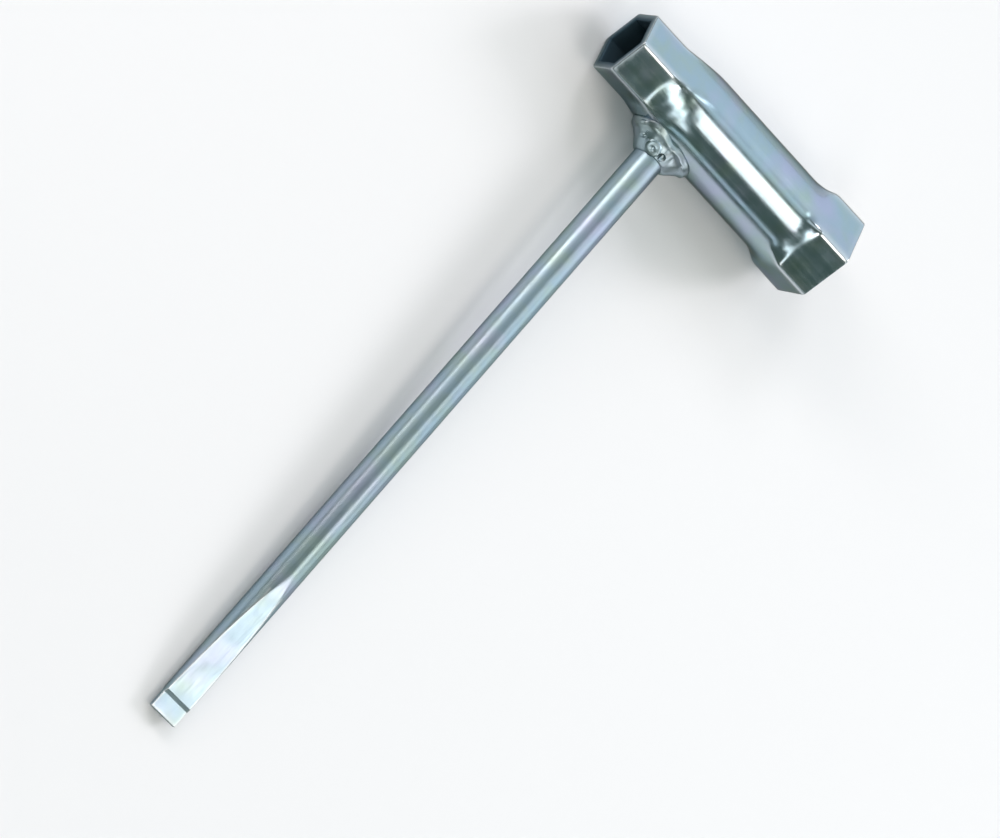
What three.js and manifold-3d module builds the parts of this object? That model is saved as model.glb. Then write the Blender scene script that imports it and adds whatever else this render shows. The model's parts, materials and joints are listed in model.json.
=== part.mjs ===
// Chainsaw combination wrench: a T-shaped hand tool of zinc-plated steel.
// The head is one length of round tube, pressed into a hexagon socket at each end: the small one turns
// guide bar nuts, the large one spark plugs. A round bar butts against the side of the tube, held by a
// weld run on each side of it, and the bar's far end is ground to a screwdriver blade.
// Sizes are in millimetres and +Z is up. The wrench lies on a bench as it comes to rest there, on two
// points of the head and one of the bar, with the origin on the bench under its middle.

import * as THREE from 'three';
import { mergeVertices } from 'three/addons/utils/BufferGeometryUtils.js';
import Module from 'manifold-3d';

// Sockets
const BAR_NUT = 13;                  // guide bar nut, across its flats
const SPARK_PLUG = 19;               // spark plug hexagon, across its flats
const SOCKET_CLEARANCE = 0.2;        // how much wider a socket is than what it turns
const BAR_NUT_SOCKET_DEPTH = 11.2;   // length of full hexagon at the small end
const SPARK_PLUG_SOCKET_DEPTH = 10.5; // and at the large end
const OUTSIDE_CORNER = 1.5;          // radius on the outside of a hexagon's corners
const INSIDE_CORNER = 0.4;           // least radius inside them
const EDGE_BREAK = 0.4;              // bevel round both cut ends of the tube

// Tube
const TUBE_DIAMETER = 22.2;
const TUBE_WALL = 2;
const TUBE_ROUND_LENGTH = 32;        // middle stretch that the presses leave round
const BAR_NUT_TAPER = 14.3;          // length in which the small hexagon runs out into the round
const SPARK_PLUG_TAPER = 6;          // and the large one

// Bar and screwdriver blade
const BAR_DIAMETER = 8;
const BAR_OFFSET = 24;               // from the bar nut socket's end to the bar's axis
const BAR_REACH = 188.5;             // from the tube's axis to the tip of the blade
const BLADE_LENGTH = 42;             // from the start of the ground flats to the tip
const TIP_LENGTH = 4.4;              // parallel land that enters a screw's slot
const TIP_THICKNESS = 1.2;
const SHOULDER_LENGTH = 1;           // short steep step between the flats and the land
const SHOULDER_STEP = 0.5;           // its height on each side

// Weld
const WELD_ON_BAR = 4.8;             // leg of the fillet down the bar
const WELD_ON_TUBE = 5.5;            // leg along the tube, to either side of the bar
const WELD_ACROSS = 1.5;             // leg round the tube, over and under the bar
const WELD_TOE = 0.45;               // thickness at the fillet's outer edge
const WELD_RIPPLE = 0.22;            // height of the ripples that the torch leaves
const WELD_RIPPLE_COUNT = 7;         // ripples in one run
const SEAT_GAP = 0.3;                // root gap where bar, weld and tube seat on each other

// How finely the round surfaces are drawn
const CORNER_ANGLES = [-22, -14, -7, -3.5, 0, 3.5, 7, 14, 22, 30]; // degrees from each corner
const TAPER_STEPS = 9;
const BAR_SIDES = 48;
const WELD_STEPS_AROUND = 42;
const WELD_STEPS_ACROSS = 7;
const CUTTER_MARGIN = 1;             // how far a cutter, or a piece to be cut, runs past the cut

// Places along the head, with the bar's axis at x = 0
const smallEnd = -BAR_OFFSET;
const smallFlatsEnd = smallEnd + BAR_NUT_SOCKET_DEPTH;
const roundStart = smallFlatsEnd + BAR_NUT_TAPER;
const roundEnd = roundStart + TUBE_ROUND_LENGTH;
const largeFlatsStart = roundEnd + SPARK_PLUG_TAPER;
const largeEnd = largeFlatsStart + SPARK_PLUG_SOCKET_DEPTH;

const smallOutside = BAR_NUT + SOCKET_CLEARANCE + 2 * TUBE_WALL;
const largeOutside = SPARK_PLUG + SOCKET_CLEARANCE + 2 * TUBE_WALL;
const barRadius = BAR_DIAMETER / 2;

const SIXTH_TURN = Math.PI / 3;
const TWELFTH_TURN = Math.PI / 6;

const wasm = await Module();
wasm.setup();

// Evenly spaced values from one limit to the other, both included
function spread(from, to, steps) {
  return Array.from({ length: steps + 1 }, (_, i) => THREE.MathUtils.lerp(from, to, i / steps));
}

// A closed geometry as a solid that can be cut
function toSolid(geometry) {
  geometry.deleteAttribute('normal');
  geometry.deleteAttribute('uv');
  const merged = mergeVertices(geometry);
  return new wasm.Manifold(new wasm.Mesh({
    numProp: 3,
    vertProperties: new Float32Array(merged.attributes.position.array),
    triVerts: new Uint32Array(merged.index.array),
  }));
}

// A cut solid back as a geometry
function toGeometry(solid) {
  const { vertProperties, triVerts } = solid.getMesh();
  const geometry = new THREE.BufferGeometry();
  geometry.setAttribute('position', new THREE.BufferAttribute(vertProperties, 3));
  geometry.setIndex(new THREE.BufferAttribute(triVerts, 1));
  geometry.computeVertexNormals();
  return geometry;
}

// Skin over a row of rings that have as many points each. A looped row joins its last ring to its
// first, and any other is closed by a fan from the middle of each end ring.
function loft(rings, looped) {
  const around = rings[0].length;
  const points = rings.flat();
  const faces = [];
  for (let i = 0; i < (looped ? rings.length : rings.length - 1); i++) {
    const next = (i + 1) % rings.length;
    for (let j = 0; j < around; j++) {
      const a = i * around + j;
      const b = i * around + (j + 1) % around;
      const c = next * around + j;
      const d = next * around + (j + 1) % around;
      faces.push(a, c, d, a, d, b);
    }
  }
  if (!looped) {
    const last = (rings.length - 1) * around;
    const middles = [rings[0], rings.at(-1)].map((ring) => ring
      .reduce((sum, point) => sum.add(point), new THREE.Vector3())
      .divideScalar(around));
    const [firstMiddle, lastMiddle] = [points.length, points.length + 1];
    points.push(...middles);
    for (let j = 0; j < around; j++) {
      const k = (j + 1) % around;
      faces.push(firstMiddle, j, k, lastMiddle, last + k, last + j);
    }
  }
  const geometry = new THREE.BufferGeometry().setFromPoints(points);
  geometry.setIndex(faces);
  geometry.computeVertexNormals();
  return geometry;
}

// Distance from the axis to the side of a hexagon with rounded corners, at an angle from one corner:
// on the corner's arc, and past the arc's end on the flat
function hexagonRadius(acrossFlats, cornerRadius, angle) {
  const toFlat = acrossFlats / 2;
  const fromCorner = Math.abs(angle - SIXTH_TURN * Math.round(angle / SIXTH_TURN));
  const arcCentre = (toFlat - cornerRadius) / Math.cos(TWELFTH_TURN);
  const arcEnd = Math.atan2(
    cornerRadius * Math.sin(TWELFTH_TURN),
    arcCentre + cornerRadius * Math.cos(TWELFTH_TURN),
  );
  if (fromCorner > arcEnd) {
    return toFlat / Math.cos(TWELFTH_TURN - fromCorner);
  }
  const aside = arcCentre * Math.sin(fromCorner);
  return arcCentre * Math.cos(fromCorner) + Math.sqrt(cornerRadius ** 2 - aside ** 2);
}

// Share of a hexagon in the section: all of it up to the end of the flats, where the press leaves a
// crease, then falling along a parabola to nothing where the tube is round
function hexagonShare(x, flatsEnd, roundFrom) {
  const along = THREE.MathUtils.clamp((x - flatsEnd) / (roundFrom - flatsEnd), 0, 1);
  return (1 - along) ** 2;
}

// Distance from the tube's axis to its surface, at an angle from +Z. The inset is nothing for the
// outside, the wall for the bore, and less than nothing for a surface that clears the outside.
function tubeRadius(x, angle, inset) {
  const corner = Math.max(OUTSIDE_CORNER - inset, INSIDE_CORNER);
  const round = TUBE_DIAMETER / 2 - inset;
  const small = hexagonRadius(smallOutside - 2 * inset, corner, angle);
  const large = hexagonRadius(largeOutside - 2 * inset, corner, angle);
  return round
    + hexagonShare(x, smallFlatsEnd, roundStart) * (small - round)
    + hexagonShare(x, largeFlatsStart, roundEnd) * (large - round);
}

// One section of the tube, with corners of its hexagons at +Z and -Z and a flat towards the bar
function tubeRing(x, inset) {
  return spread(0, 5, 5).flatMap((corner) => CORNER_ANGLES.map((degrees) => {
    const angle = corner * SIXTH_TURN + THREE.MathUtils.degToRad(degrees);
    const radius = tubeRadius(x, angle, inset);
    return new THREE.Vector3(x, radius * Math.sin(angle), radius * Math.cos(angle));
  }));
}

// Rings of one surface of the tube from the small end to the large one, with bevelled ends
function tubeSurface(inset, bevel) {
  const places = [
    smallEnd + EDGE_BREAK,
    ...spread(smallFlatsEnd, roundStart, TAPER_STEPS),
    ...spread(roundEnd, largeFlatsStart, TAPER_STEPS),
    largeEnd - EDGE_BREAK,
  ];
  return [
    tubeRing(smallEnd, inset + bevel),
    ...places.map((x) => tubeRing(x, inset)),
    tubeRing(largeEnd, inset + bevel),
  ];
}

// The head: a tube with a bore that follows its outside, from end to end
function makeSocketTube() {
  const outside = tubeSurface(0, EDGE_BREAK);
  const bore = tubeSurface(TUBE_WALL, -EDGE_BREAK);
  return loft([...outside, ...bore.reverse()], true);
}

// What the pieces that seat on the tube are cut back to
function tubeSeat() {
  return toSolid(loft(tubeSurface(-SEAT_GAP, 0), false));
}

// A round bar along -Y from the tube's axis, wider than the real one by a clearance all round
function roundBar(clearance) {
  const radius = barRadius + clearance;
  const length = BAR_REACH + CUTTER_MARGIN;
  return toSolid(new THREE.CylinderGeometry(radius, radius, length, BAR_SIDES).translate(0, -length / 2, 0));
}

// The bar seen from the side, as a plate to cut it by: two flats that close on each other along a
// straight wedge, the shoulder's step, and the land of the tip
function bladeOutline() {
  const landHalf = TIP_THICKNESS / 2;
  const wedgeHalf = landHalf + SHOULDER_STEP;
  const wedgeEnd = TIP_LENGTH + SHOULDER_LENGTH - BAR_REACH;
  const wedgeStart = BLADE_LENGTH - BAR_REACH;
  const rise = (barRadius - wedgeHalf) / (wedgeStart - wedgeEnd);
  const upper = [
    new THREE.Vector2(0, barRadius + CUTTER_MARGIN),
    new THREE.Vector2(wedgeStart + CUTTER_MARGIN / rise, barRadius + CUTTER_MARGIN),
    new THREE.Vector2(wedgeEnd, wedgeHalf),
    new THREE.Vector2(TIP_LENGTH - BAR_REACH, landHalf),
    new THREE.Vector2(-BAR_REACH, landHalf),
  ];
  const lower = upper.map((point) => new THREE.Vector2(point.x, -point.y)).reverse();
  return new THREE.Shape([...upper, ...lower]);
}

// The bar, with its blade ground in and its other end cut to sit on the tube
function makeBar() {
  const width = BAR_DIAMETER + 2 * CUTTER_MARGIN;
  const plate = new THREE.ExtrudeGeometry(bladeOutline(), { depth: width, bevelEnabled: false });
  plate.translate(0, 0, -width / 2);
  plate.applyMatrix4(new THREE.Matrix4().makeBasis(
    new THREE.Vector3(0, 1, 0),
    new THREE.Vector3(0, 0, 1),
    new THREE.Vector3(1, 0, 0),
  ));
  return toGeometry(roundBar(0).intersect(toSolid(plate)).subtract(tubeSeat()));
}

// How far the tube's side stands out towards the bar, over a point of the plan: the radius there
// depends on the angle and the angle on the height, so the two are brought together in a few rounds
function tubeHeight(x, z) {
  let height = Math.sqrt((TUBE_DIAMETER / 2) ** 2 - z ** 2);
  for (let round = 0; round < 6; round++) {
    const radius = tubeRadius(x, Math.atan2(-height, z), 0);
    height = Math.sqrt(radius ** 2 - z ** 2);
  }
  return height;
}

// One section through a weld run, on the plane at an angle round the bar from the run's own side
function weldRing(side, angle) {
  const leg = Math.hypot(WELD_ON_TUBE * Math.cos(angle), WELD_ACROSS * Math.sin(angle));
  const ripple = WELD_RIPPLE * Math.cos(2 * WELD_RIPPLE_COUNT * angle);
  const pointAt = (distance, lift) => {
    const x = side * (SEAT_GAP / 2 + distance * Math.cos(angle));
    const z = side * distance * Math.sin(angle);
    return new THREE.Vector3(x, -tubeHeight(x, z) - lift, z);
  };
  const underBar = barRadius - CUTTER_MARGIN;
  const face = spread(1, 0, WELD_STEPS_ACROSS).map((across) => pointAt(
    barRadius + across * leg,
    WELD_TOE + (WELD_ON_BAR - WELD_TOE) * (1 - across) + ripple * Math.sin(Math.PI * across),
  ));
  return [
    pointAt(underBar, -CUTTER_MARGIN),
    pointAt(barRadius + leg, -CUTTER_MARGIN),
    ...face,
    pointAt(underBar, WELD_ON_BAR),
  ];
}

// A weld run: a rippled fillet half way round the bar, cut back to the tube and the bar it joins
function makeWeldRun(side) {
  const angles = spread(-Math.PI / 2, Math.PI / 2, WELD_STEPS_AROUND);
  const fillet = loft(angles.map((angle) => weldRing(side, angle)), false);
  return toGeometry(toSolid(fillet).subtract(tubeSeat()).subtract(roundBar(SEAT_GAP)));
}

// Turn that lays the wrench on a bench. The bar bears on the start of its flats or on its tip, whichever
// comes down first. The head bears on the two of its low points, one on each side of the balance, whose
// line passes deepest under the balance.
function layingTurn() {
  const smallCorner = hexagonRadius(smallOutside, OUTSIDE_CORNER, 0);
  const largeCorner = hexagonRadius(largeOutside, OUTSIDE_CORNER, 0);
  const lowPoints = [
    { x: smallEnd, depth: smallCorner },
    { x: roundStart, depth: TUBE_DIAMETER / 2 },
    { x: roundEnd, depth: TUBE_DIAMETER / 2 },
    { x: largeFlatsStart, depth: largeCorner },
    { x: largeEnd, depth: largeCorner },
  ];
  // The head and the bar weigh about the same, so the wrench balances half way between their middles
  const balance = (smallEnd + largeEnd) / 4;
  const lines = lowPoints.filter(({ x }) => x < balance).flatMap((left) => lowPoints
    .filter(({ x }) => x >= balance)
    .map((right) => {
      const slope = (right.depth - left.depth) / (right.x - left.x);
      return { slope, atBar: left.depth - slope * left.x };
    }));
  const bearing = lines.reduce((deepest, line) => (
    line.atBar + line.slope * balance > deepest.atBar + deepest.slope * balance ? line : deepest));
  const fall = Math.min(
    (bearing.atBar - barRadius) / (BAR_REACH - BLADE_LENGTH),
    (bearing.atBar - TIP_THICKNESS / 2) / BAR_REACH,
  );
  const benchNormal = new THREE.Vector3(bearing.slope, fall, 1).normalize();
  return new THREE.Quaternion().setFromUnitVectors(benchNormal, new THREE.Vector3(0, 0, 1));
}

const zincPlate = new THREE.MeshStandardMaterial({ color: '#b4c2c8', roughness: 0.22, metalness: 1 });
const platedWeld = new THREE.MeshStandardMaterial({ color: '#a3b0b5', roughness: 0.35, metalness: 1 });

function piece(name, geometry, material) {
  const mesh = new THREE.Mesh(geometry, material);
  mesh.name = name;
  return mesh;
}

const laid = new THREE.Group();
laid.quaternion.copy(layingTurn());
laid.add(
  piece('socket_tube', makeSocketTube(), zincPlate),
  piece('screwdriver_bar', makeBar(), zincPlate),
  piece('weld_run_bar_nut_side', makeWeldRun(-1), platedWeld),
  piece('weld_run_spark_plug_side', makeWeldRun(1), platedWeld),
);

// The bench is at z = 0, with the origin under the middle of the wrench
const reach = new THREE.Box3().setFromObject(laid, true);
const middle = reach.getCenter(new THREE.Vector3());
laid.position.set(-middle.x, -middle.y, -reach.min.z);

const wrench = new THREE.Group();
wrench.add(laid);

export default wrench;
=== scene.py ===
# Chainsaw combination wrench on a pale studio floor: a socket tube, a bar with a screwdriver blade
# butted against its side, and the two weld runs that join them, all bright zinc plated together.
import json

import bmesh
import bpy
import numpy as np
from mathutils import Matrix, Vector


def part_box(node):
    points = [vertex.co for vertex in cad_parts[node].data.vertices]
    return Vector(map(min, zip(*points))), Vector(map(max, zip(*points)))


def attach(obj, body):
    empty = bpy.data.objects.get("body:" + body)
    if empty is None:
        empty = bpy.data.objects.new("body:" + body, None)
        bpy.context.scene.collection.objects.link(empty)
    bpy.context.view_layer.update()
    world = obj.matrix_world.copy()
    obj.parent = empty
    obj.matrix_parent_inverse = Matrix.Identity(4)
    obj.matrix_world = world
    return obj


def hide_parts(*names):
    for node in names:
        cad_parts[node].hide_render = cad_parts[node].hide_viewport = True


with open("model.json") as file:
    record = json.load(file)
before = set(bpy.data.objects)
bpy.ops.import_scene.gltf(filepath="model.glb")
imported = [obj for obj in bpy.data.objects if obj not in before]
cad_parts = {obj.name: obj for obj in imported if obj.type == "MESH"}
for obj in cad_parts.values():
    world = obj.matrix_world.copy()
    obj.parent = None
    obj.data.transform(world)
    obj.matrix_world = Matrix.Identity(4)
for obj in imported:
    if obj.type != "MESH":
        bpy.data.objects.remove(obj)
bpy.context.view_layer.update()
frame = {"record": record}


# Socket tube
# One length of round steel tube, pressed in at one end to a 13 mm hexagon for guide bar nuts and opened
# at the other to a 19 mm hexagon for spark plugs. The presses leave a crease where each flat ends, and
# the tube is open from end to end.

SMALL_SOCKET = 13.2          # mm across flats
LARGE_SOCKET = 19.2
TUBE_WALL = 2.0
TUBE_ROUND = 22.2            # diameter of the middle stretch
SMALL_END = -24.0            # places along the tube, in mm from the bar's axis
SMALL_FLATS_END = -12.8
ROUND_START = 1.5
ROUND_END = 33.5
LARGE_FLATS_START = 39.5
LARGE_END = 50.0
OUTSIDE_CORNER = 1.5         # radius on a hexagon's corners
INSIDE_CORNER = 0.4
RIM_ROUND = 0.4              # radius on the edges of the cut ends
CREASE_ROUND = 0.8           # how softly a flat turns into its taper
FLAT_HOLLOW = 0.03           # how far the press draws in the middle of a flat
PRESS_WAVE = 0.02            # unevenness of the pressed skin
WAVE_SHORT = 0.31            # its two waves along the tube, in radians per mm
WAVE_LONG = 0.17
RUMPLE = 0.07                # depth of the dents where the press lets go of the tube
RUMPLE_LENGTH = 5.0
RUMPLE_SLOWER = 0.6          # how quick the second wave of dents is, as a share of the first
CORNER_STEPS = 40            # steps round the tube from one flat's middle to the next
CORNER_CROWDING = 0.6        # how much they crowd towards the corner
RIM_STEPS = 6
FINE_REACH = 2.0             # how far on each side of a crease the steps along the tube are fine
RIDGE_POWER = 24             # of the cosine that keeps the rubbed line on a corner narrow
SAME_POINT = 1e-4            # mm within which two points are one
SIXTH = np.pi / 3
TWELFTH = np.pi / 6
MM = 0.001

# The tool's own axes, from the faces that the record measures: x along the tube towards the large
# socket, -y along the bar to its blade, and the origin where the two axes meet.
mounts = {mount["name"]: mount for mount in frame["record"]["mounts"]}
tool_x = np.array(mounts["spark_plug_socket_end"]["axis"])
tool_y = -np.array(mounts["bar_nut_socket_flat"]["axis"])
tool_axes = np.array([tool_x, tool_y, np.cross(tool_x, tool_y)])
rim_middle = np.array([SMALL_END, SMALL_SOCKET / 2 + TUBE_WALL / 2, 0])
tool_origin = np.array(mounts["bar_nut_socket_end"]["pos_m"]) - MM * rim_middle @ tool_axes


def stretch(*turns):
    """Places along a line: pairs of a place and a count of steps, with even steps from each to the next."""
    runs = [
        np.linspace(start, end, steps, endpoint=False)
        for (start, steps), (end, _) in zip(turns, turns[1:])
    ]
    return np.concatenate([*runs, [turns[-1][0]]])


def hexagon_radius(across_flats, corner, angle):
    """Distance from the axis to a hexagon with round corners, by the angle from a corner: the far side of
    the corner's arc, and past the end of the arc the flat, which is its distance over a cosine."""
    from_corner = np.abs(angle - SIXTH * np.round(angle / SIXTH))
    to_flat = across_flats / 2
    arc_centre = (to_flat - corner) / np.cos(TWELFTH)
    arc_end = np.arctan2(corner * np.sin(TWELFTH), arc_centre + corner * np.cos(TWELFTH))
    aside = arc_centre * np.sin(from_corner)
    arc = arc_centre * np.cos(from_corner) + np.sqrt(np.maximum(corner**2 - aside**2, 0))
    flat = to_flat / np.cos(TWELFTH - from_corner)
    return np.where(from_corner > arc_end, flat, arc)


def hexagon_share(x, flats_end, round_from):
    """Share of the hexagon in a section: one along the flats, then a parabola down to nothing where the
    tube is round. The distance past the flats is half the sum of itself and a root, so it turns softly."""
    length = abs(round_from - flats_end)
    past = (x - flats_end) * np.sign(round_from - flats_end)
    soft = (past + np.sqrt(past**2 + CREASE_ROUND**2)) / 2
    return (1 - np.clip(soft / length, 0, 1)) ** 2


def tube_radius(x, angle, inset):
    """Distance from the tube's axis to its skin, at an angle from +z: the round tube, drawn to each hexagon
    by its share. The flats are hollow by the fourth power of a sine that is nothing on the corners. A slow
    wave, the product of two sines, only ever goes inwards. Where a hexagon is half gone lie the dents of
    two slanting waves multiplied, half as deep at the large end."""
    corner = np.maximum(OUTSIDE_CORNER - inset, INSIDE_CORNER)
    round_radius = TUBE_ROUND / 2 - inset
    small = hexagon_radius(SMALL_SOCKET + 2 * (TUBE_WALL - inset), corner, angle)
    large = hexagon_radius(LARGE_SOCKET + 2 * (TUBE_WALL - inset), corner, angle)
    small_share = hexagon_share(x, SMALL_FLATS_END, ROUND_START)
    large_share = hexagon_share(x, LARGE_FLATS_START, ROUND_END)
    hollow = FLAT_HOLLOW * (small_share + large_share) * np.sin(3 * angle) ** 4
    wave = np.sin(WAVE_SHORT * x + 2 * angle) * np.sin(WAVE_LONG * x - 3 * angle + 1)
    along = 2 * np.pi * x / RUMPLE_LENGTH
    half_gone = 4 * small_share * (1 - small_share) + 2 * large_share * (1 - large_share)
    dents = half_gone * (1 + np.sin(along + 2 * angle) * np.sin(RUMPLE_SLOWER * along - 5 * angle)) / 2
    return (
        round_radius
        + small_share * (small - round_radius)
        + large_share * (large - round_radius)
        - hollow
        - PRESS_WAVE * (1 + wave) / 2
        - RUMPLE * dents
    )


def corner_angles():
    """Angles all round a hexagon: six like runs from flat to flat, a straight line plus a cube, so that
    the steps are shortest over each corner."""
    run = (np.arange(CORNER_STEPS) + 0.5) / CORNER_STEPS * 2 - 1
    beside = TWELFTH * ((1 - CORNER_CROWDING) * run + CORNER_CROWDING * run**3)
    return (SIXTH * np.arange(6)[:, None] + beside).ravel()


def grid_mesh(name, grid, **marks):
    """One closed mesh from a grid of points in the tool's millimetres. The grid closes round its second
    side, and along its first side either closes too or comes to a point at both ends. If its volume, a
    sixth of its triangles' triple products, comes out below nothing, its faces are turned. The point in
    the tool's millimetres is kept as an attribute for patterns, and each mark is kept as one as well."""
    rows, columns = grid.shape[:2]
    end_spans = np.ptp(grid[[0, -1]], axis=1).max(axis=1)
    looped = end_spans.min() > SAME_POINT
    row = np.arange(rows if looped else rows - 1)[:, None]
    column = np.arange(columns)[None, :]
    below, beside = (row + 1) % rows, (column + 1) % columns
    quads = np.stack([
        row * columns + column,
        below * columns + column,
        below * columns + beside,
        row * columns + beside,
    ], axis=-1).reshape(-1, 4)
    points = grid.reshape(-1, 3)
    a, b, c, d = (points[quads[:, k]] for k in range(4))
    volume = np.sum(np.cross(a, b) * c + np.cross(a, c) * d)
    mesh = bpy.data.meshes.new(name)
    mesh.from_pydata(tool_origin + MM * points @ tool_axes, [], quads if volume > 0 else quads[:, ::-1])
    mesh.attributes.new("tool_mm", "FLOAT_VECTOR", "POINT").data.foreach_set("vector", points.ravel())
    for mark, values in marks.items():
        mesh.attributes.new(mark, "FLOAT", "POINT").data.foreach_set("value", values.ravel())
    merged = bmesh.new()
    merged.from_mesh(mesh)
    bmesh.ops.remove_doubles(merged, verts=merged.verts, dist=SAME_POINT * MM)
    bmesh.ops.dissolve_degenerate(merged, edges=merged.edges, dist=SAME_POINT * MM)
    merged.to_mesh(mesh)
    merged.free()
    mesh.polygons.foreach_set("use_smooth", [True] * len(mesh.polygons))
    piece = bpy.data.objects.new(name, mesh)
    bpy.context.scene.collection.objects.link(piece)
    return piece


def rim_arc(end, inwards):
    """Places and insets round one outer edge of a cut end: a quarter circle from the side to the face."""
    turn = np.linspace(0, np.pi / 2, RIM_STEPS)
    return end + inwards * RIM_ROUND * (1 - np.sin(turn)), RIM_ROUND * (1 - np.cos(turn))


def tube_path():
    """The tube's section as a closed line of places and insets: along the outside from the small end to
    the large one, over the rim, back through the bore and over the small rim."""
    small_x, small_inset = rim_arc(SMALL_END, 1)
    large_x, large_inset = rim_arc(LARGE_END, -1)
    skin = stretch(
        (SMALL_END + RIM_ROUND, 6),
        (SMALL_FLATS_END - FINE_REACH, 16),
        (SMALL_FLATS_END + FINE_REACH, 26),
        (ROUND_START, 12),
        (ROUND_END, 22),
        (LARGE_FLATS_START - FINE_REACH, 16),
        (LARGE_FLATS_START + FINE_REACH, 6),
        (LARGE_END - RIM_ROUND, 0),
    )[1:-1]
    bore = skin[::-1]
    x = np.concatenate([small_x[::-1], skin, large_x, large_x[::-1], bore, small_x])
    inset = np.concatenate([
        small_inset[::-1],
        np.zeros(len(skin)),
        large_inset,
        TUBE_WALL - large_inset[::-1],
        np.full(len(bore), TUBE_WALL),
        TUBE_WALL - small_inset,
    ])
    return x[:, None], inset[:, None]


def make_tube():
    """The path of the tube's section carried round the axis: at each angle from +z the radius places the
    point, its sine along y and its cosine along z. Rubbing fades from the rims by an exponential, and from
    a hexagon's ridges by a high power of a cosine."""
    x, inset = tube_path()
    angle = corner_angles()[None, :]
    radius = tube_radius(x, angle, inset)
    grid = np.stack(np.broadcast_arrays(x, radius * np.sin(angle), radius * np.cos(angle)), axis=-1)
    from_end = np.minimum(x - SMALL_END, LARGE_END - x)
    rim = np.exp(-from_end / RIM_ROUND - (inset / RIM_ROUND) ** 2)
    small_share = hexagon_share(x, SMALL_FLATS_END, ROUND_START)
    large_share = hexagon_share(x, LARGE_FLATS_START, ROUND_END)
    outside = inset < TUBE_WALL / 2
    ridge = (small_share + large_share) * np.cos(3 * angle) ** RIDGE_POWER * outside
    wear = np.maximum(rim + 0 * angle, ridge)
    # Mark for the bore's duller steel, and for painted shade that darkens the bore and the cut rims
    inside = np.clip(inset / (2 * RIM_ROUND), 0, 1) + 0 * angle
    return grid_mesh("pressed_socket_tube", grid, edge_wear=wear, inside=inside)


def linear(colour):
    """An sRGB hex colour as linear red, green and blue, by the standard's curve: a straight line for the
    darkest values and a power for the rest. The alpha is one."""
    srgb = np.array([int(colour[at:at + 2], 16) for at in (1, 3, 5)]) / 255
    return (*np.where(srgb <= 0.04045, srgb / 12.92, ((srgb + 0.055) / 1.055) ** 2.4), 1.0)


def add_node(tree, kind, inputs=None, **settings):
    """Adds a node with its settings. Each input is named by its identifier, and takes a value or a link
    from another node's output."""
    made = tree.nodes.new(kind)
    for name, value in settings.items():
        setattr(made, name, value)
    sockets = {socket.identifier: socket for socket in made.inputs}
    for name, value in (inputs or {}).items():
        if isinstance(value, bpy.types.NodeSocket):
            tree.links.new(value, sockets[name])
        else:
            sockets[name].default_value = value
    return made


# Bright zinc plate with a blue-clear passivate, on drawn or pressed steel: a mirror gone slightly soft,
# steel-blue with drifts of green and lavender some millimetres across, greyer where it is seen at a
# slant and lighter where edges rub. In the bore it is dull steel, and there and on the cut rims its
# colour is darkened as painted shade.
TUBE_TINTS = ("#9db3bd", "#a0b4b1", "#a9b2c6")
PLATE_RUBBED = "#c2cace"
PLATE_ASLANT = "#93928a"     # what the passivate leaves of light that passes it at a slant
# painted shade: a dark colour for the bore and the cut rims, laid over their duller steel
BORE_STEEL_AND_SHADE = "#3a4f5b"
BORE_ROUGHNESS = 0.5
BORE_METAL = 0.5
GREEN_DRIFT = 7.0            # mm across a drift of tint
LAVENDER_DRIFT = 11.0
GREEN_LEVELS = (0.42, 0.66)  # of the noise, between which a drift fades in
LAVENDER_LEVELS = (0.48, 0.72)
LINE_STRETCH = 60            # how many times as long as wide the steel's lines are
HAZE = 4.0                   # mm across a cloud of duller plate
GRAIN = 0.25                 # mm; the real grain is finer, and this is as coarse as it needs to show
UNEVEN_LEVELS = (0.7, 1.35)  # of lines and haze together, for the least and the most roughness
LINE_BUMP = (0.04, 0.03)     # strength, and depth in mm
GRAIN_BUMP = (0.03, 0.02)


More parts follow.
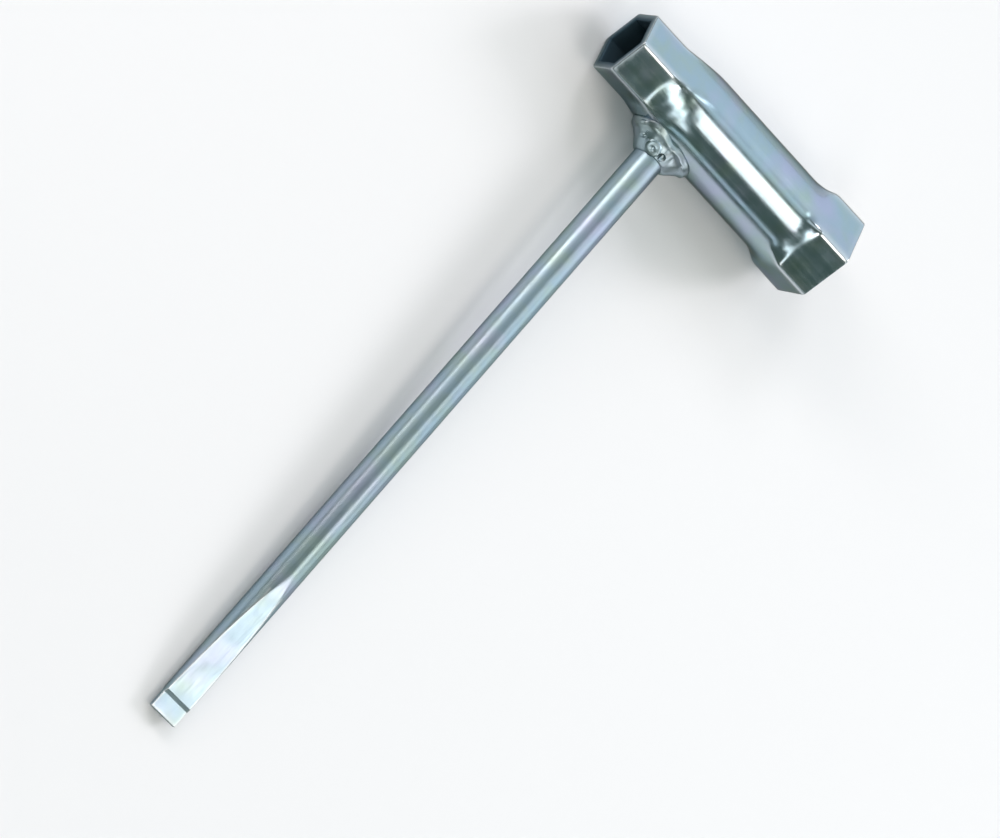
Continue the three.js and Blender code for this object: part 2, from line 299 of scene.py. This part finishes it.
def zinc_plate(name, tints, lines_along, line_width, smooth, dull):
    """A zinc-plated finish in three tints, steel-blue, green and lavender. Lines of the steel below run
    along one axis of the tool, line_width mm apart, which is as coarse as they need to show; smooth and
    dull are the least and the most roughness of the plate."""
    material = bpy.data.materials.new(name)
    material.use_nodes = True
    tree = material.node_tree
    shader = tree.nodes["Principled BSDF"]
    shader.inputs["Specular Tint"].default_value = linear(PLATE_ASLANT)
    place = add_node(tree, "ShaderNodeAttribute", attribute_name="tool_mm").outputs["Vector"]
    wear = add_node(tree, "ShaderNodeAttribute", attribute_name="edge_wear").outputs["Fac"]
    inside = add_node(tree, "ShaderNodeAttribute", attribute_name="inside").outputs["Fac"]

    # Over the steel-blue lie drifts of green, then of lavender, then rubbed edges, then the bore's dull
    # steel with painted shade on bore and rims
    green = add_node(tree, "ShaderNodeTexNoise", {
        "Vector": place, "Scale": 1 / GREEN_DRIFT, "Detail": 3.0})
    green_share = add_node(tree, "ShaderNodeMapRange", {
        "Value": green.outputs["Fac"], "From Min": GREEN_LEVELS[0], "From Max": GREEN_LEVELS[1]})
    lavender = add_node(tree, "ShaderNodeTexNoise", {
        "Vector": place, "Scale": 1 / LAVENDER_DRIFT, "Detail": 2.0})
    lavender_share = add_node(tree, "ShaderNodeMapRange", {
        "Value": lavender.outputs["Fac"], "From Min": LAVENDER_LEVELS[0], "From Max": LAVENDER_LEVELS[1]})
    layers = (
        (green_share.outputs["Result"], tints[1]),
        (lavender_share.outputs["Result"], tints[2]),
        (wear, PLATE_RUBBED),
        (inside, BORE_STEEL_AND_SHADE),
    )
    tint = linear(tints[0])
    for share, colour in layers:
        layer = add_node(tree, "ShaderNodeMix", {
            "Factor_Float": share, "A_Color": tint, "B_Color": linear(colour)}, data_type="RGBA")
        tint = layer.outputs[2]
    tree.links.new(tint, shader.inputs["Base Color"])

    # Lines of the steel and a haze vary the roughness, and lines and grain the relief
    squeeze = np.full(3, 1 / line_width)
    squeeze["xyz".index(lines_along)] /= LINE_STRETCH
    drawn = add_node(tree, "ShaderNodeMapping", {"Vector": place, "Scale": squeeze}, vector_type="POINT")
    lines = add_node(tree, "ShaderNodeTexNoise", {
        "Vector": drawn.outputs["Vector"], "Scale": 1.0, "Detail": 4.0})
    haze = add_node(tree, "ShaderNodeTexNoise", {"Vector": place, "Scale": 1 / HAZE, "Detail": 5.0})
    grain = add_node(tree, "ShaderNodeTexNoise", {"Vector": place, "Scale": 1 / GRAIN, "Detail": 3.0})
    uneven = add_node(tree, "ShaderNodeMath", {
        "Value": lines.outputs["Fac"], "Value_001": haze.outputs["Fac"]}, operation="ADD")
    plate_roughness = add_node(tree, "ShaderNodeMapRange", {
        "Value": uneven.outputs["Value"],
        "From Min": UNEVEN_LEVELS[0],
        "From Max": UNEVEN_LEVELS[1],
        "To Min": smooth,
        "To Max": dull,
    })
    roughness = add_node(tree, "ShaderNodeMix", {
        "Factor_Float": inside, "A_Float": plate_roughness.outputs["Result"], "B_Float": BORE_ROUGHNESS})
    tree.links.new(roughness.outputs[0], shader.inputs["Roughness"])
    metal = add_node(tree, "ShaderNodeMapRange", {"Value": inside, "To Min": 1.0, "To Max": BORE_METAL})
    tree.links.new(metal.outputs["Result"], shader.inputs["Metallic"])
    fine = add_node(tree, "ShaderNodeBump", {
        "Height": grain.outputs["Fac"], "Strength": GRAIN_BUMP[0], "Distance": GRAIN_BUMP[1] * MM})
    scored = add_node(tree, "ShaderNodeBump", {
        "Height": lines.outputs["Fac"],
        "Strength": LINE_BUMP[0],
        "Distance": LINE_BUMP[1] * MM,
        "Normal": fine.outputs["Normal"],
    })
    tree.links.new(scored.outputs["Normal"], shader.inputs["Normal"])
    return material


socket_tube = make_tube()
tube_finish = zinc_plate(
    "zinc-plated pressed steel tube", TUBE_TINTS, "x", line_width=0.5, smooth=0.12, dull=0.26)
socket_tube.data.materials.append(tube_finish)
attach(socket_tube, "root")
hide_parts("socket_tube")


# Screwdriver bar
# A length of drawn round steel bar, butted against the tube's side. Its far end is ground from both
# faces to a wedge that ends, behind a short steep shoulder, in the parallel land of a screwdriver tip.

BAR_RADIUS = 4.0
BAR_SEAT = 9.7               # where the bar ends in the tube's wall, in mm from the tube's axis
BAR_TIP = 188.5
FLATS_START = 146.5
SHOULDER_START = 183.1
LAND_START = 184.1
LAND_HALF = 0.6              # half the thickness of the land
SHOULDER_STEP = 0.5
GROUND_EDGE = 70             # power of the norm that joins flat and round: the higher, the sharper
TIP_ROUND = 0.25
TIP_STEPS = 4                # round the tip's edge
END_RINGS = 5                # that close the tip's end
SIDE_STEPS = 48              # round each of the section's two arcs and two flats
FLATS_LEAD = 6.0             # how far before the flats the steps along the bar turn fine
SHOULDER_MARGIN = 0.5        # how far on each side of the shoulder they are finest
NEAR_ZERO = 1e-6             # least sine that a distance is divided by
RUB_START = 4.0              # how far past the start of the flats their edges begin to be rubbed
RUB_SHARPNESS = 40           # how narrow the rubbed line along them is
TIP_RUB = 0.4                # mm over which the rubbing of the tip fades
BAR_TINTS = ("#9bb1bf", "#9fb3b3", "#a6afc5")


def blade_half(reach):
    """Half the thickness between the ground faces: the straight line of the wedge, and over the shoulder
    a straight ramp from that line down to the land."""
    wedge_end = LAND_HALF + SHOULDER_STEP
    slope = (BAR_RADIUS - wedge_end) / (SHOULDER_START - FLATS_START)
    wedge = wedge_end + slope * (SHOULDER_START - reach)
    ramp = np.clip((reach - SHOULDER_START) / (LAND_START - SHOULDER_START), 0, 1)
    return wedge * (1 - ramp) + LAND_HALF * ramp


def bar_path():
    """Places along the bar, each with an inset and a scale: a ring that closes the seat, the bar itself, a
    quarter circle of insets round the tip's edge, and rings that shrink to close the tip's end."""
    length = stretch(
        (BAR_SEAT, 40),
        (FLATS_START - FLATS_LEAD, 90),
        (SHOULDER_START - SHOULDER_MARGIN, 20),
        (LAND_START + SHOULDER_MARGIN, 8),
        (BAR_TIP - TIP_ROUND, 0),
    )
    turn = np.linspace(0, np.pi / 2, TIP_STEPS + 1)[1:]
    shrink = np.linspace(1, 0, END_RINGS + 1)[1:]
    tip_reach = BAR_TIP - TIP_ROUND * (1 - np.sin(turn))
    tip_inset = TIP_ROUND * (1 - np.cos(turn))
    reach = np.concatenate([[BAR_SEAT], length, tip_reach, np.full(END_RINGS, BAR_TIP)])
    inset = np.concatenate([[0], 0 * length, tip_inset, np.full(END_RINGS, TIP_ROUND)])
    scale = np.concatenate([[0], np.ones(len(length) + TIP_STEPS), shrink])
    return reach[:, None], inset[:, None], scale[:, None]


def make_bar():
    """Sections carried along the bar. In polar form each is a norm of the circle and the two flats, the
    root of the sum of their inverse radii to a high power, so that the ground edges come out just broken.
    Steps round the section crowd towards the ground edges, by a cosine, and rubbing fades from them and
    from the tip by exponentials."""
    reach, inset, scale = bar_path()
    half = blade_half(reach) - inset
    radius = BAR_RADIUS - inset
    edge = np.minimum(np.arcsin(np.minimum(half / radius, 1)), SIXTH)
    run = (1 - np.cos(np.pi * np.arange(SIDE_STEPS) / SIDE_STEPS)) / 2
    arc, face = -edge + 2 * edge * run, edge + (np.pi - 2 * edge) * run
    angle = np.concatenate([arc, face, arc + np.pi, face + np.pi], axis=1)
    to_face = half / np.maximum(np.abs(np.sin(angle)), NEAR_ZERO)
    section = scale * (radius**-GROUND_EDGE + to_face**-GROUND_EDGE) ** (-1 / GROUND_EDGE)
    grid = np.stack(np.broadcast_arrays(section * np.cos(angle), -reach, section * np.sin(angle)), axis=-1)
    from_side = angle - np.pi * np.round(angle / np.pi)
    beside_edge = np.exp(-RUB_SHARPNESS * ((from_side / edge) ** 2 - 1) ** 2)
    wear = beside_edge * (reach > FLATS_START + RUB_START) + np.exp(-(BAR_TIP - reach) / TIP_RUB)
    return grid_mesh("ground_screwdriver_bar", grid, edge_wear=np.clip(wear, 0, 1), inside=0 * wear)


bar = make_bar()
bar_finish = zinc_plate(
    "zinc-plated drawn steel bar", BAR_TINTS, "y", line_width=0.35, smooth=0.28, dull=0.40)
bar.data.materials.append(bar_finish)
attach(bar, "root")
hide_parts("screwdriver_bar")


# Weld runs
# Two fillets laid by hand in the corner between bar and tube, one on each side of the bar, plated with
# the rest. Each is a row of overlapping ripples; on top one run ends in a round nugget and a crater.

WELD_ON_BAR = 4.8            # legs of the fillet, in mm
WELD_ON_TUBE = 5.5
WELD_ACROSS = 1.5            # over and under the bar
WELD_TOE = 0.12              # thickness at the outer edge
WELD_ROOT = 0.5              # how far a run is sunk into what it joins
WELD_ROLL = 0.55             # how far its rolled edges stand out
WELD_HOLLOW = 0.35           # how far its middle sinks between them
BEATS = 5                    # how often the torch slows down in one turn round the bar
ROLL_BEAT = 0.25             # share by which the rolled edges swell with the beat
ROLL_PHASE = 0.6
LEG_BEAT = 0.06              # share by which the leg on the tube does
LEG_PHASE = 2
RIPPLES = 6                  # in one run
RIPPLE_HEIGHT = 0.05
RIPPLE_BOW = 0.3             # how far a ripple's middle runs ahead, in radians round the bar
WELD_LUMP = 0.08             # height of the slow lumps
BROAD_WAVES = (3.1, 5.3)     # of the lumps, in radians per radian round the bar
BROAD_SLANT = 4.2            # and from bar to tube
NARROW_WAVE = 9
NARROW_SLANT = 7
SHORT_LEG = 0.3              # share by which the leg on the tube is short on one shoulder
SHORT_LEG_TURN = 1.0         # where that is and how wide, in radians round the bar from +x
SHORT_LEG_WIDTH = 0.4
TOE_BEAD = 0.3               # height of the bead along the foot on the tube
BEAD_ACROSS = 0.8            # its place and width, as shares of the way from bar to tube
BEAD_WIDTH = 0.1
ALONG_LEGS = 0.7             # share of a lump's height along each leg, about the root of a half
RUN_STEPS = 200
FACE_STEPS = 70
SEATING_ROUNDS = 6
WELD_TINTS = ("#9aaeb6", "#9eaeab", "#a5adbd")

# Single marks on the runs: where round the bar from +x, where across from bar to tube, radius and height
NUGGET = (2.15, 0.26, 1.7, 0.55)
DIMPLE = (2.15, 0.26, 0.5, -0.3)
CRATER = (1.50, 0.24, 0.9, -0.9)
SPATTER = ((2.81, 0.87, 0.5, 0.45), (2.77, 0.48, 0.55, 0.5), (0.55, 0.75, 0.4, 0.3), (4.1, 0.6, 0.5, 0.4))


def tube_height(x, z):
    """How far the tube's side stands out towards the bar over a point: radius and angle depend on each
    other, so a few rounds bring them together."""
    height = np.sqrt((TUBE_ROUND / 2) ** 2 - z**2)
    for _ in range(SEATING_ROUNDS):
        radius = tube_radius(x, np.arctan2(-height, z), 0.0)
        height = np.sqrt(radius**2 - z**2)
    return height


def weld_lumps(turn, across, leg):
    """Height of the weld's own shape over a plain fillet. A swell with steep edges, the root of one less
    the fourth power of the distance from the middle, grows and shrinks along the run, and a parabola
    hollows its middle. On it lie ripples that bow by how far across they are, lumps of slanting sines,
    and a bell-shaped bead along the foot. Each single mark is a flat-topped drop or pit, again the root of
    one less a fourth power, lifted at its sides so that it isn't bent round the bar."""
    from_middle = np.abs(2 * across - 1)
    inner = 1 - from_middle**2
    swell = np.sqrt(1 - from_middle**4) * (1 + ROLL_BEAT * np.sin(BEATS * turn + ROLL_PHASE))
    ripple = np.cos(2 * RIPPLES * (turn + RIPPLE_BOW * inner))
    broad = np.sin(BROAD_WAVES[0] * turn + 1) * np.sin(BROAD_WAVES[1] * turn + BROAD_SLANT * across)
    narrow = np.sin(NARROW_WAVE * turn - NARROW_SLANT * across) / 2
    uneven = RIPPLE_HEIGHT * ripple + WELD_LUMP * (broad + narrow)
    bead = TOE_BEAD * np.exp(-(((across - BEAD_ACROSS) / BEAD_WIDTH) ** 2))
    height = WELD_ROLL * swell + inner * (uneven - WELD_HOLLOW) + bead
    for mark_turn, mark_across, size, mark_height in (NUGGET, DIMPLE, CRATER, *SPATTER):
        along = BAR_RADIUS * (turn - mark_turn)
        aside = (across - mark_across) * np.hypot(leg, WELD_ON_BAR)
        top = np.sqrt(np.maximum(1 - (np.hypot(along, aside) / size) ** 4, 0))
        height = height + top * (mark_height + along**2 / (2 * BAR_RADIUS))
    return height


def weld_grid(first, last):
    """A run of weld between two turns round the bar from +x. Each section is a fillet: its face falls
    evenly from the bar to the tube and carries the lumps, and its root goes under both. The leg on the
    tube is an ellipse's, with a beat and a bell-shaped short stretch. The run's ends close to a point."""
    turn = np.linspace(first, last, RUN_STEPS)[:, None]
    across = (1 + np.cos(np.linspace(0, np.pi, FACE_STEPS)))[None, :] / 2
    leg = np.hypot(WELD_ON_TUBE * np.cos(turn), WELD_ACROSS * np.sin(turn))
    short = SHORT_LEG * np.exp(-(((turn - SHORT_LEG_TURN) / SHORT_LEG_WIDTH) ** 2))
    leg = leg * (1 + LEG_BEAT * np.sin(BEATS * turn + LEG_PHASE) - short)
    lumps = ALONG_LEGS * weld_lumps(turn, across, leg)
    face_distance = BAR_RADIUS + across * leg + lumps
    face_lift = WELD_TOE + (WELD_ON_BAR - WELD_TOE) * (1 - across) + lumps
    in_bar = 0 * turn + BAR_RADIUS - WELD_ROOT
    in_tube = 0 * turn - WELD_ROOT
    top_lift = 0 * turn + WELD_ON_BAR
    distance = np.concatenate([in_bar, BAR_RADIUS + leg, face_distance, in_bar], axis=1)
    lift = np.concatenate([in_tube, in_tube, face_lift, top_lift], axis=1)
    x, z = distance * np.cos(turn), distance * np.sin(turn)
    grid = np.stack([x, -tube_height(x, z) - lift, z], axis=-1)
    ends = grid[[0, -1]].mean(axis=1, keepdims=True) + np.zeros_like(grid[[0, -1]])
    return np.concatenate([ends[:1], grid, ends[1:]])


weld_finish = zinc_plate(
    "zinc-plated weld metal", WELD_TINTS, "y", line_width=0.6, smooth=0.26, dull=0.44)
weld_sides = {
    "weld_run_bar_nut_side": (np.pi / 2, 3 * np.pi / 2),
    "weld_run_spark_plug_side": (-np.pi / 2, np.pi / 2),
}
for node_name, (first, last) in weld_sides.items():
    grid = weld_grid(first, last)
    unmarked = np.zeros(grid.shape[:2])
    run = grid_mesh("rippled_" + node_name, grid, edge_wear=unmarked, inside=unmarked)
    run.data.materials.append(weld_finish)
    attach(run, "root")
    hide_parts(node_name)


# Studio floor
# A plain pale sweep of matt paper that the wrench lies on, with faint clouds in its colour. It keeps
# the wrench's soft shadow.

FLOOR_REACH = 6.0            # metres
FLOOR_PALE = "#f1f2f4"
FLOOR_WORN = "#edeef0"
PAPER_ROUGHNESS = 0.9
PAPER_SHEEN = 0.1
CLOUDS_PER_METRE = 3.0

floor_corners = FLOOR_REACH * np.array([[-1, -1, 0], [1, -1, 0], [1, 1, 0], [-1, 1, 0]])
floor_mesh = bpy.data.meshes.new("studio_floor")
floor_mesh.from_pydata(floor_corners, [], [(0, 1, 2, 3)])
floor = bpy.data.objects.new("studio_floor", floor_mesh)
bpy.context.scene.collection.objects.link(floor)
paper = bpy.data.materials.new("matt background paper")
paper.use_nodes = True
paper_tree = paper.node_tree
paper_shader = paper_tree.nodes["Principled BSDF"]
paper_shader.inputs["Roughness"].default_value = PAPER_ROUGHNESS
paper_shader.inputs["Specular IOR Level"].default_value = PAPER_SHEEN
paper_place = add_node(paper_tree, "ShaderNodeTexCoord").outputs["Object"]
paper_cloud = add_node(paper_tree, "ShaderNodeTexNoise", {"Vector": paper_place, "Scale": CLOUDS_PER_METRE})
paper_tint = add_node(paper_tree, "ShaderNodeMix", {
    "Factor_Float": paper_cloud.outputs["Fac"],
    "A_Color": linear(FLOOR_PALE),
    "B_Color": linear(FLOOR_WORN),
}, data_type="RGBA")
paper_tree.links.new(paper_tint.outputs[2], paper_shader.inputs["Base Color"])
floor_mesh.materials.append(paper)


# Studio light
# A softbox overhead draws the bright stripe along the head, and two keys from behind light the floor and
# throw soft shadows forward. The panels, strips and small lamps are there for bar, blade, tube and weld
# to mirror, in a room that is bright at the back right and dark elsewhere.

ROOM_BRIGHT = "#e8f1fb"
ROOM_DARK = "#55635c"
ROOM_BRIGHT_SIDE = (0.40, 0.86, 0.30)
ROOM_COSINES = (0.55, 0.9)   # of the angle to the bright side, between which the room brightens
ROOM_LEVEL = 1.2
HEAD = Vector(np.mean(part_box("socket_tube"), axis=0))
BAR = Vector(np.mean(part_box("screwdriver_bar"), axis=0))
ACROSS = Vector((1, 0, 0))
FRONT_STRIP_LINE = Vector((0.87, 0.36, 0.39))


def softbox(name, aim, towards, distance, size, radiance, colour, along=ACROSS):
    """A rectangular lamp that faces its aim from a direction, with its first side laid along a line. Its
    power is its radiance over its area and a half circle of directions."""
    lamp = bpy.data.lights.new(name, "AREA")
    lamp.shape = "RECTANGLE"
    lamp.size, lamp.size_y = size
    lamp.energy = radiance * np.pi * size[0] * size[1]
    lamp.color = linear(colour)[:3]
    holder = bpy.data.objects.new(name, lamp)
    back = Vector(towards).normalized()
    up = back.cross(along).normalized()
    axes = Matrix((up.cross(back), up, back)).transposed().to_4x4()
    holder.matrix_world = Matrix.Translation(aim + back * distance) @ axes
    bpy.context.scene.collection.objects.link(holder)


# Each lamp has its aim, the direction it stands in from there, its distance and size in metres, its
# radiance and its colour
softbox("overhead_softbox", HEAD, (0.325, -0.212, 0.921), 1.2, (0.32, 0.69), 3.0, "#fff0e8")
softbox("right_key", HEAD, (0.68, 0.57, 0.46), 3.2, (0.9, 0.9), 15.0, "#fff9fc")
softbox("back_key", HEAD, (-0.42, 0.70, 0.58), 3.2, (0.9, 0.9), 7.4, "#fff9fc")
softbox("upper_panel", BAR, (0.32, 0.38, 0.87), 1.2, (0.60, 0.26), 0.6, "#f4fbff")
softbox("right_panel", BAR, (0.80, 0.284, 0.53), 1.2, (1.00, 0.34), 1.1, "#f6fbf8")
softbox("left_panel", BAR, (-0.45, 0.33, 0.85), 1.2, (1.05, 0.34), 0.95, "#eef0f2")
softbox("blade_panel", BAR, (0.336, -0.04, 0.94), 1.2, (0.45, 0.40), 1.3, "#fffdfa")
softbox("left_strip", BAR, (-0.81, 0.39, 0.43), 0.65, (0.35, 0.15), 5.8, "#fff3ee")
softbox("front_strip", HEAD, (0.0, -0.69, 0.724), 1.2, (0.20, 0.75), 2.4, "#fff6f2", FRONT_STRIP_LINE)
softbox("low_strip", HEAD, (0.355, -0.905, 0.235), 1.2, (0.50, 0.16), 1.0, "#e8f4fa")
softbox("front_lamp", HEAD, (-0.17, -0.53, 0.83), 1.2, (0.32, 0.32), 3.0, "#fffefc")
softbox("right_strip", HEAD, (0.76, -0.31, 0.57), 1.2, (0.55, 0.40), 2.6, "#fffefc")
softbox("ceiling_lamp", HEAD, (0.15, 0.48, 0.86), 1.2, (0.16, 0.16), 2.5, "#f4fbff")

world = bpy.data.worlds.new("studio_room")
bpy.context.scene.world = world
world.use_nodes = True
room = world.node_tree
heading = add_node(room, "ShaderNodeTexCoord").outputs["Generated"]
facing = add_node(room, "ShaderNodeVectorMath", {
    "Vector": heading, "Vector_001": Vector(ROOM_BRIGHT_SIDE).normalized()}, operation="DOT_PRODUCT")
brightness = add_node(room, "ShaderNodeMapRange", {
    "Value": facing.outputs["Value"],
    "From Min": ROOM_COSINES[0],
    "From Max": ROOM_COSINES[1],
}, interpolation_type="SMOOTHSTEP")
room_tint = add_node(room, "ShaderNodeMix", {
    "Factor_Float": brightness.outputs["Result"],
    "A_Color": linear(ROOM_DARK),
    "B_Color": linear(ROOM_BRIGHT),
}, data_type="RGBA")
room.links.new(room_tint.outputs[2], room.nodes["Background"].inputs["Color"])
room.nodes["Background"].inputs["Strength"].default_value = ROOM_LEVEL


# Camera
# A long lens above the front left that looks down on the wrench. Its place, turn and focal length were
# fitted to the tool's corners and edges in the photograph.

CAMERA_PLACE = Vector((-0.60179, -0.35428, 1.20356))
CAMERA_FORWARD = Vector((0.43532, 0.25880, -0.86228))
CAMERA_UP = Vector((-0.66131, 0.74182, -0.11122))
FOCAL_PIXELS = 6000
IMAGE_WIDTH = 1000

lens = bpy.data.cameras.new("long_lens")
lens.sensor_fit = "HORIZONTAL"
lens.lens = FOCAL_PIXELS / IMAGE_WIDTH * lens.sensor_width
camera = bpy.data.objects.new("camera", lens)
bpy.context.scene.collection.objects.link(camera)
camera_back = -CAMERA_FORWARD.normalized()
camera_right = CAMERA_UP.cross(camera_back).normalized()
camera_axes = Matrix((camera_right, camera_back.cross(camera_right), camera_back)).transposed()
camera.matrix_world = Matrix.Translation(CAMERA_PLACE) @ camera_axes.to_4x4()
bpy.context.scene.camera = camera
bpy.context.scene.view_settings.view_transform = "Standard"
